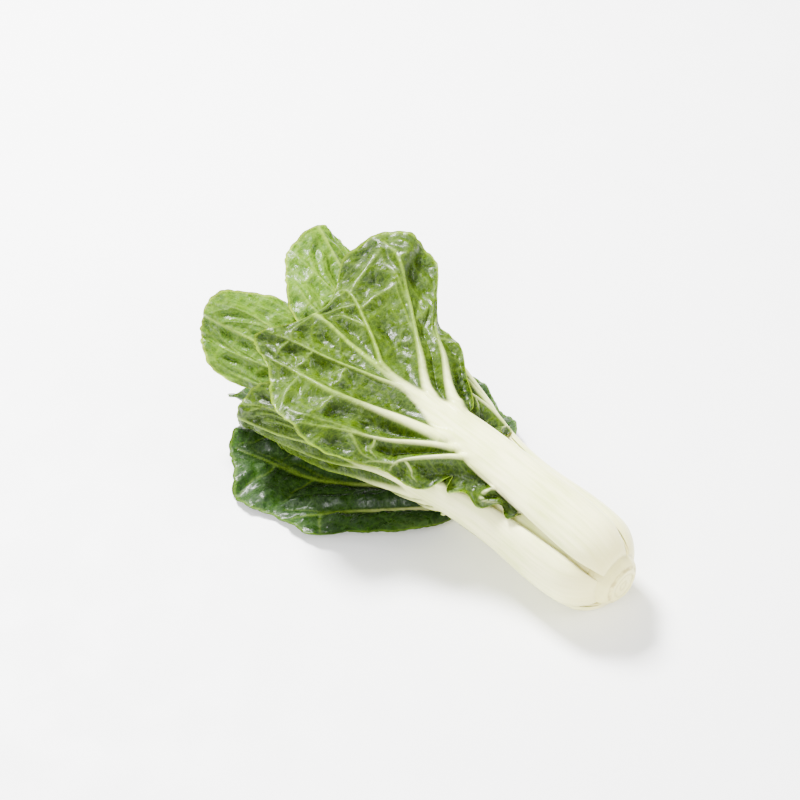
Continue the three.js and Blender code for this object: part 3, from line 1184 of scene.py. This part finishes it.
@dataclass(frozen=True)
class LeafFinish:
    """The finish of a leaf: a waxy white stalk that runs out as pale ribs into a puckered green blade, with
    painted shade in the blade's hollows.
    """

    slot: str
    # Each face's second, darker green is painted shade in the pucker hollows and at the neck, and also random
    # darker tone
    under: Colour
    under_dark_and_shade: Colour
    upper: Colour
    upper_dark_and_shade: Colour
    net: Colour
    rim: Colour
    rib: Colour = rgb(118, 144, 44)
    stalk: Colour = rgb(255, 252, 192)
    stalk_shade: Colour = rgb(208, 220, 124)
    root: Colour = rgb(240, 230, 158)
    net_share: float = 0.28
    mesh_share: float = 0.18
    rim_share: float = 0.75
    stalk_roughness: float = 0.33
    bump_strength: float = 0.8
    bump_depth: float = 0.0009

    def material(self) -> bpy.types.Material:
        """Makes the material.

        Returns:
            The material, which reads the markings that the leaf's mesh stores.
        """
        board = ShaderBoard(f"{self.slot}_leaf")
        place = board.places("flat")
        upper = board.marking("upper")
        vein = board.marking("vein")
        stalk = board.marking("stalk")
        green = self.green(board, place, upper)
        net = board.maths("MULTIPLY", board.marking("net"), self.net_share)
        net = board.maths("MAXIMUM", net, self.fine_net(board, place))
        green = board.mixed(net, green, self.net)
        green = board.mixed(board.maths("MULTIPLY", board.marking("rim"), self.rim_share), green, self.rim)
        worn = board.ranged(board.noise(place, 420), 0.3, 0.7, 0.75, 1)
        green = board.mixed(board.maths("MULTIPLY", vein, worn), green, self.rib)
        colour = board.mixed(stalk, green, self.white(board, place))
        smooth = board.ranged(board.noise(place, 420, 4), 0.38, 0.6, 0.24, 0.7)
        roughness = board.add("ShaderNodeMix", data_type="FLOAT")
        board.feed(roughness.inputs[0], stalk)
        board.feed(roughness.inputs[2], smooth)
        roughness.inputs[3].default_value = self.stalk_roughness
        normal = self.grain(board, place, stalk)
        return board.surface(
            {"Base Color": colour, "Roughness": roughness.outputs[0], "Normal": normal},
            {
                "IOR": 1.4,
                "Specular IOR Level": 0.24,
                "Coat Weight": 0.07,
                "Coat Roughness": 0.14,
                "Subsurface Weight": 0.08,
                "Subsurface Radius": (0.004, 0.005, 0.002),
                "Subsurface Scale": 0.5,
            },
        )

    def green(self, board: ShaderBoard, place: Socket, upper: Socket) -> Socket:
        """The green of the blade, painted darker as shade in the pucker hollows and at the neck, with random
        darker tone and its own tint on either face.

        Args:
            board: The material's board.
            place: Flat places.
            upper: 1 on the inner face.

        Returns:
            The colour.
        """
        puff = board.marking("puff")
        cloud = board.ranged(board.noise(place, 55, 4), 0.32, 0.68)
        # Painted shade: the pucker hollows and the neck take the darker green; the cloud and speck noise add
        # random darker tone
        shade_and_tone = board.maths("MULTIPLY_ADD", puff, 0.55, board.maths("MULTIPLY", cloud, 0.45))
        speck = board.ranged(board.noise(place, 900, 2), 0.35, 0.75, 0, 0.22)
        shade_and_tone = board.maths("ADD", shade_and_tone, speck)
        under = board.mixed(shade_and_tone, self.under, self.under_dark_and_shade)
        inner = board.mixed(shade_and_tone, self.upper, self.upper_dark_and_shade)
        return board.mixed(upper, under, inner)

    def fine_net(self, board: ShaderBoard, place: Socket) -> Socket:
        """The thinnest pale veins.

        Args:
            board: The material's board.
            place: Flat places.

        Returns:
            How pale a place is, from 0 to 1.
        """
        warp = board.add("ShaderNodeVectorMath", operation="ADD")
        bent = board.add("ShaderNodeTexNoise")
        board.feed(bent.inputs["Vector"], place)
        bent.inputs["Scale"].default_value = 300
        board.feed(warp.inputs[0], board.stretched(bent.outputs["Color"], (0.002, 0.002, 0.002)))
        board.feed(warp.inputs[1], place)
        threads = board.cells(warp.outputs[0], 620, "DISTANCE_TO_EDGE")
        thin = board.ranged(threads, 0.0, 0.1, 0.2, 0)
        mesh = board.maths("MULTIPLY", board.marking("mesh"), self.mesh_share)
        return board.maths("MAXIMUM", thin, mesh)

    def white(self, board: ShaderBoard, place: Socket) -> Socket:
        """The white of the stalk, with faint lengthwise lines and a cream root.

        Args:
            board: The material's board.
            place: Flat places.

        Returns:
            The colour.
        """
        lines = board.noise(board.stretched(place, (0.06, 1, 1)), 700, 3)
        cloud = board.noise(place, 45, 3)
        split = board.add("ShaderNodeSeparateXYZ")
        board.feed(split.inputs[0], place)
        mottle = board.ranged(cloud, 0.35, 0.8, 0, 0.4)
        shade = board.maths("MULTIPLY_ADD", board.ranged(lines, 0.35, 0.7), 0.45, mottle)
        shade = board.maths("ADD", shade, board.ranged(split.outputs["X"], 0.04, 0.1, 0, 0.25))
        white = board.mixed(shade, self.stalk, self.stalk_shade)
        root = board.ranged(split.outputs["X"], 0.0, 0.02, 0.85, 0)
        return board.mixed(root, white, self.root)

    def grain(self, board: ShaderBoard, place: Socket, stalk: Socket) -> Socket:
        """The fine bumps of blade and stalk.

        Args:
            board: The material's board.
            place: Flat places.
            stalk: 1 on the stalk.

        Returns:
            The normal.
        """
        pores = board.cells(place, 480, "SMOOTH_F1")
        wrinkle = board.noise(place, 380, 4)
        blade = board.maths("MULTIPLY_ADD", pores, 0.5, wrinkle)
        lines = board.noise(board.stretched(place, (0.05, 1, 1)), 900, 2)
        height = board.add("ShaderNodeMix", data_type="FLOAT")
        board.feed(height.inputs[0], stalk)
        board.feed(height.inputs[2], blade)
        board.feed(height.inputs[3], board.maths("MULTIPLY", lines, 0.16))
        return board.bumped(height.outputs[0], self.bump_strength, self.bump_depth)


FINISHES = {
    BladeTone.GREEN: LeafFinish(
        "green_blade",
        under=rgb(50, 72, 2),
        under_dark_and_shade=rgb(15, 31, 0),
        upper=rgb(34, 58, 2),
        upper_dark_and_shade=rgb(11, 28, 0),
        net=rgb(96, 122, 14),
        rim=rgb(116, 142, 26),
    ),
    BladeTone.DARK: LeafFinish(
        "dark_blade",
        under=rgb(44, 70, 19),
        under_dark_and_shade=rgb(20, 42, 10),
        upper=rgb(30, 54, 13),
        upper_dark_and_shade=rgb(12, 30, 8),
        net=rgb(66, 96, 32),
        rim=rgb(76, 104, 28),
    ),
    BladeTone.YOUNG: LeafFinish(
        "young_blade",
        under=rgb(66, 98, 6),
        under_dark_and_shade=rgb(28, 56, 2),
        upper=rgb(54, 84, 6),
        upper_dark_and_shade=rgb(22, 46, 2),
        net=rgb(130, 156, 44),
        rim=rgb(146, 168, 42),
    ),
}


@dataclass
class Head:
    """All the leaves of the head."""

    fine: LeafGrain = LeafGrain(rows=70, columns=26, lines=200, steps=80)
    wide: LeafGrain = LeafGrain(rows=60, columns=18, lines=180, steps=64)
    plain: LeafGrain = LeafGrain(rows=54, columns=18, lines=112, steps=48)
    hidden: LeafGrain = LeafGrain(rows=40, columns=12, lines=72, steps=32)
    materials: dict[BladeTone, bpy.types.Material] = field(default_factory=dict)

    @staticmethod
    def outer_leaves() -> list[LeafForm]:
        """The four big leaves round the outside.

        Returns:
            Their forms.
        """
        return [
            LeafForm(
                name="top_leaf", turn=-7, swing=-4, start=1, length=170, blade_start=(66, 84),
                radii=(12.2, 18.5, 21.6, 25.5, 32.5, 39, 46), widths=(16, 23.5, 20, 18), thick=7.2,
                half=(33, 31), flat=0.95, ruffle=4.8, waves=5, phase=2.9, notch=14, obovate=(0.1, 0.65),
                tip_lobe=(3, 4), side_lobe=(0, 7), slit=(0.15, 0.5), wing=(26, 0), tone=BladeTone.GREEN,
            ),
            LeafForm(
                name="under_leaf", turn=180, swing=5, start=1, length=182, blade_start=(76, 76),
                radii=(12.2, 18.5, 21.6, 26.0, 32.2, 34.2, 35.5), widths=(19, 28, 22, 20), thick=6.8,
                half=(44, 44), flat=1.0, ruffle=1.5, waves=4, phase=2.1, notch=3, obovate=(0.2, 0.2),
                tone=BladeTone.DARK,
            ),
            LeafForm(
                name="near_leaf", turn=-93, swing=3, start=2, length=162, blade_start=(72, 68),
                radii=(11.6, 17.4, 17.3, 20.6, 28.4, 35.5, 47), widths=(15, 27, 21, 17), thick=6.2,
                half=(27, 28), flat=0.15, ruffle=1.8, waves=5, phase=1.4, notch=2, obovate=(0.25, 0.25),
                tone=BladeTone.GREEN,
            ),
            LeafForm(
                name="far_leaf", turn=84, swing=0, start=2, length=172, blade_start=(72, 74),
                radii=(11.6, 17.4, 17.2, 20.6, 27.5, 33, 44), widths=(15, 27.5, 20, 17), thick=6.0,
                half=(29, 30), flat=0.15, ruffle=1.8, waves=4, phase=3.9, notch=0, obovate=(0.25, 0.25),
                tone=BladeTone.GREEN,
            ),
        ]

    @staticmethod
    def middle_leaves() -> list[LeafForm]:
        """The four leaves that stand in the gaps of the outer ones.

        Returns:
            Their forms.
        """
        turns = (-46, 44, 136, -136)
        swings = (2, -18, -1, -4)
        halves = (20, 24, 20.5, 22)
        radii = (
            (10.1, 13.6, 19, 24, 40),
            (12.8, 16.8, 23.4, 31, 47),
            (9.7, 13.2, 18.6, 22.5, 27),
            (13, 17, 22.8, 26.5, 29),
        )
        return [
            LeafForm(
                name=f"middle_leaf_{i + 1}", turn=turn, swing=swings[i], start=5, length=194 - 4 * i,
                blade_start=(76, 80), radii=(8.6, 11.2, *radii[i]), widths=(13, 15.5, 13, 11), thick=4.6,
                half=(halves[i], halves[i]), flat=0, ruffle=1, waves=4 + i % 2, phase=1.7 * i, notch=3,
                obovate=(0.3, 0.3), tone=BladeTone.YOUNG if i < 2 else BladeTone.DARK,
            )
            for i, turn in enumerate(turns)
        ]

    @staticmethod
    def inner_leaves() -> list[LeafForm]:
        """The three small leaves round the heart.

        Returns:
            Their forms.
        """
        turns = (20, 140, -100)
        radii = (
            (6.3, 6.7, 9.8, 14.6, 18, 23),
            (5.2, 4.6, 6.6, 10.6, 13, 17),
            (4.1, 2.2, 2.8, 6, 9, 12),
        )
        return [
            LeafForm(
                name=f"inner_leaf_{i + 1}", turn=turn, swing=6, start=9, length=164 - 20 * i,
                blade_start=(62, 64), radii=(5.0, *radii[i]), widths=(7 - i, 9 - 1.5 * i, 7 - i, 7 - i),
                thick=2.4, half=(16 - 4 * i, 15 - 4 * i), flat=0, ruffle=0.5, waves=4, phase=2.3 * i,
                notch=1, obovate=(0.2, 0.2), tone=BladeTone.YOUNG,
            )
            for i, turn in enumerate(turns)
        ]

    def build(self, shift: Vector) -> None:
        """Makes every leaf.

        Args:
            shift: From the head's own millimetres to the frame, in metres.
        """
        self.materials = {tone: finish.material() for tone, finish in FINISHES.items()}
        outer = self.outer_leaves()
        middle = self.middle_leaves()
        grains = [self.fine] + [self.wide] * 5 + [self.plain] * 2 + [self.hidden] * 3
        for form, grain in zip(outer + middle + self.inner_leaves(), grains):
            leaf = LeafMesh(form, grain).build(shift)
            leaf.data.materials.append(self.materials[form.tone])
            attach(leaf, "root")
            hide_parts(f"{form.name}_stalk", f"{form.name}_blade")
            log.info("%s: %d faces", form.name, len(leaf.data.polygons))


@dataclass
class Crown:
    """The short stem that the leaves grow from, with its flat cut face."""

    radius: float = 11.3
    face_share: float = 0.68
    reach: float = CROWN_REACH
    depth: float = 17.0
    collar_places: tuple[float, ...] = (0, 0.1, 0.25, 0.5, 1)
    collar_shares: tuple[float, ...] = (0.75, 0.88, 0.965, 1.0, 0.4)
    collar_rows: int = 16
    spokes: int = 96
    rings: int = 40
    ring_depth: float = 0.06
    nick_depth: float = 0.22
    edge_drop: float = 0.9

    def height(self, share: np.ndarray, angle: np.ndarray) -> np.ndarray:
        """How far the cut face stands out at a place.

        Args:
            share: 0 in the middle to 1 on its edge.
            angle: Round the face, in radians.

        Returns:
            Heights in millimetres, at most the crown's reach.
        """
        ring = self.ring_depth * np.sin(share * 13 + 0.9 * np.sin(3 * angle) + 0.5 * np.sin(5 * angle))
        nick = self.nick_depth * bulge(share, 0.62, 0.08) * (0.5 + 0.5 * np.sin(5 * angle + 1))
        edge = self.edge_drop * smoothstep(share, 0.8, 1.0) ** 2
        return self.reach - 0.25 - 0.2 * (1 - share) - np.abs(ring) - nick - edge

    def build(self, shift: Vector) -> None:
        """Makes the crown and dresses it.

        Args:
            shift: From the head's own millimetres to the frame, in metres.
        """
        angle = np.linspace(0, 2 * np.pi, self.spokes, endpoint=False)
        share = np.linspace(0, 1, self.rings + 1)[1:]
        round_out = 1 + 0.02 * np.sin(5 * angle + 0.4) + 0.012 * np.sin(11 * angle)
        face_share, face_angle = np.meshgrid(share, angle, indexing="ij")
        face_radius = face_share * self.radius * self.face_share * round_out
        face_height = self.height(face_share, face_angle)
        back = np.linspace(0, 1, self.collar_rows)[:, None]
        collar = through_stations(self.collar_places, self.collar_shares, back)
        back_radius = self.radius * collar * round_out
        back_height = mixed(self.reach - 1.5, -self.depth, back) * np.ones_like(angle)
        radius = np.vstack([face_radius, back_radius])
        height = np.vstack([face_height, back_height])
        turned = np.tile(angle, (len(radius), 1))
        points = np.stack([height, radius * np.sin(turned), radius * np.cos(turned)], axis=-1).reshape(-1, 3)
        points = np.vstack([points, [[self.height(np.array(0.0), np.array(0.0)), 0, 0]]])
        points += (HEAD_LENGTH / 2, 0, AXIS_HEIGHTS[0])
        grid = np.arange(radius.size).reshape(radius.shape)
        grid = np.hstack([grid, grid[:, :1]])
        quads = np.stack([grid[:-1, :-1], grid[:-1, 1:], grid[1:, 1:], grid[1:, :-1]], axis=-1).reshape(-1, 4)
        middle = np.full(self.spokes, len(points) - 1)
        fan = np.stack([middle, grid[0, 1:], grid[0, :-1], grid[0, :-1]], axis=-1)
        mesh = bpy.data.meshes.new("crown_stem")
        mesh.from_pydata(points * MM + np.array(shift), [], without_repeats(np.vstack([fan, quads])))
        mesh.validate()
        ring = np.append(np.minimum(radius / self.radius, 1).ravel(), 0)
        add_numbers(mesh, "ring", ring)
        cut = np.append(np.repeat([1.0, 0.0], [face_radius.size, back_radius.size]), 1)
        add_numbers(mesh, "cut", cut)
        mesh.shade_smooth()
        piece = bpy.data.objects.new("crown_stem", mesh)
        bpy.context.scene.collection.objects.link(piece)
        mesh.materials.append(CutFinish().material())
        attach(piece, "root")
        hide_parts("crown")
        log.info("crown: %d faces", len(mesh.polygons))


@dataclass(frozen=True)
class CutFinish:
    """The finish of the moist cut stem: cream, with darker rings and a slightly dry edge."""

    flesh: Colour = rgb(236, 228, 150)
    ring: Colour = rgb(176, 168, 84)
    dry: Colour = rgb(190, 172, 104)

    def material(self) -> bpy.types.Material:
        """Makes the material.

        Returns:
            The material, which reads the rings that the crown's mesh stores.
        """
        board = ShaderBoard("cut_crown_stem")
        place = board.add("ShaderNodeTexCoord").outputs["Object"]
        ring = board.marking("ring")
        wobble = board.maths("MULTIPLY_ADD", board.noise(place, 180), 0.3, ring)
        band = board.maths("SINE", board.maths("MULTIPLY", wobble, 24), 0)
        faint = board.maths("MULTIPLY", board.ranged(band, 0.0, 1, 0, 0.4), board.marking("cut"))
        colour = board.mixed(faint, self.flesh, self.ring)
        edge = board.maths("MULTIPLY", board.ranged(ring, 0.55, 0.69), board.marking("cut"))
        stain = board.ranged(board.noise(place, 500), 0.35, 0.65)
        colour = board.mixed(board.maths("MULTIPLY", edge, stain), colour, self.dry)
        roughness = board.ranged(board.noise(place, 300), 0.3, 0.7, 0.35, 0.6)
        normal = board.bumped(board.noise(place, 900, 4), 0.5, 0.0006)
        return board.surface(
            {"Base Color": colour, "Roughness": roughness, "Normal": normal},
            {"Subsurface Weight": 0.15, "Subsurface Radius": (0.004, 0.004, 0.002), "Subsurface Scale": 0.5},
        )


@dataclass(frozen=True)
class Lamp:
    """A square soft light: its place and side in metres and its power in watts."""

    name: str
    at: Place
    size: float
    power: float


@dataclass
class Studio:
    """The pale table, the soft lights and the camera."""

    azimuth: float = 44.6
    elevation: float = 45.0
    distance: float = 0.953
    lens: float = 105.0
    aim: Place = (-0.0286, 0.011, 0.025)
    table_half: float = 3.0
    sky_strength: float = 0.84
    lamps: tuple[Lamp, ...] = (
        Lamp("key", (-0.55, 0.1, 0.85), 0.26, 62.0),
        Lamp("front", (0.35, -0.9, 0.9), 0.5, 20.0),
        Lamp("side", (0.9, 0.5, 0.7), 0.5, 14.0),
    )

    def build(self) -> None:
        """Makes the table, the lights and the camera."""
        self.table()
        self.sky()
        for lamp in self.lamps:
            self.light(lamp)
        self.camera()

    def table(self) -> None:
        """Makes the pale surface that the head lies on."""
        mesh = bpy.data.meshes.new("table_top")
        half = self.table_half
        corners = [(-half, -half, 0), (half, -half, 0), (half, half, 0), (-half, half, 0)]
        mesh.from_pydata(corners, [], [(0, 1, 2, 3)])
        board = ShaderBoard("pale_table")
        place = board.add("ShaderNodeTexCoord").outputs["Object"]
        tint = board.mixed(board.noise(place, 6), rgb(253, 253, 253), rgb(250, 250, 250))
        rough = board.ranged(board.noise(place, 40), 0.3, 0.7, 0.5, 0.65)
        mesh.materials.append(board.surface({"Base Color": tint, "Roughness": rough}, {}))
        table = bpy.data.objects.new("table_top", mesh)
        bpy.context.scene.collection.objects.link(table)

    def sky(self) -> None:
        """Sets an even pale light from all round."""
        world = bpy.data.worlds.new("soft_white")
        world.use_nodes = True
        background = world.node_tree.nodes["Background"]
        background.inputs["Color"].default_value = (1.0, 1.0, 1.0, 1.0)
        background.inputs["Strength"].default_value = self.sky_strength
        bpy.context.scene.world = world

    def light(self, lamp: Lamp) -> None:
        """Adds a soft light that faces the head.

        Args:
            lamp: What it is like.
        """
        area = bpy.data.lights.new(lamp.name, "AREA")
        area.size = lamp.size
        area.energy = lamp.power
        holder = bpy.data.objects.new(lamp.name, area)
        holder.location = lamp.at
        holder.rotation_euler = (Vector(self.aim) - Vector(lamp.at)).to_track_quat("-Z", "Y").to_euler()
        bpy.context.scene.collection.objects.link(holder)

    def camera(self) -> None:
        """Sets the camera at the photograph's viewing angle."""
        a = math.radians(self.azimuth)
        e = math.radians(self.elevation)
        back = Vector((math.sin(a) * math.cos(e), -math.cos(a) * math.cos(e), math.sin(e)))
        lens = bpy.data.cameras.new("view")
        lens.lens = self.lens
        camera = bpy.data.objects.new("view", lens)
        camera.location = Vector(self.aim) + back * self.distance
        camera.rotation_euler = (-back).to_track_quat("-Z", "Y").to_euler()
        bpy.context.scene.collection.objects.link(camera)
        bpy.context.scene.camera = camera


def head_shift() -> Vector:
    """The step from the head's own millimetres to the frame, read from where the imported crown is.

    Returns:
        The step in metres.
    """
    low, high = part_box("crown")
    return Vector((high.x - (HEAD_LENGTH / 2 + CROWN_REACH) * MM, (low.y + high.y) / 2, 0))


def main() -> None:
    """Builds the leaves, the crown and the studio."""
    logging.basicConfig(level=logging.INFO, format="%(message)s")
    shift = head_shift()
    Head().build(shift)
    Crown().build(shift)
    Studio().build()


if __name__ == "__main__":
    main()
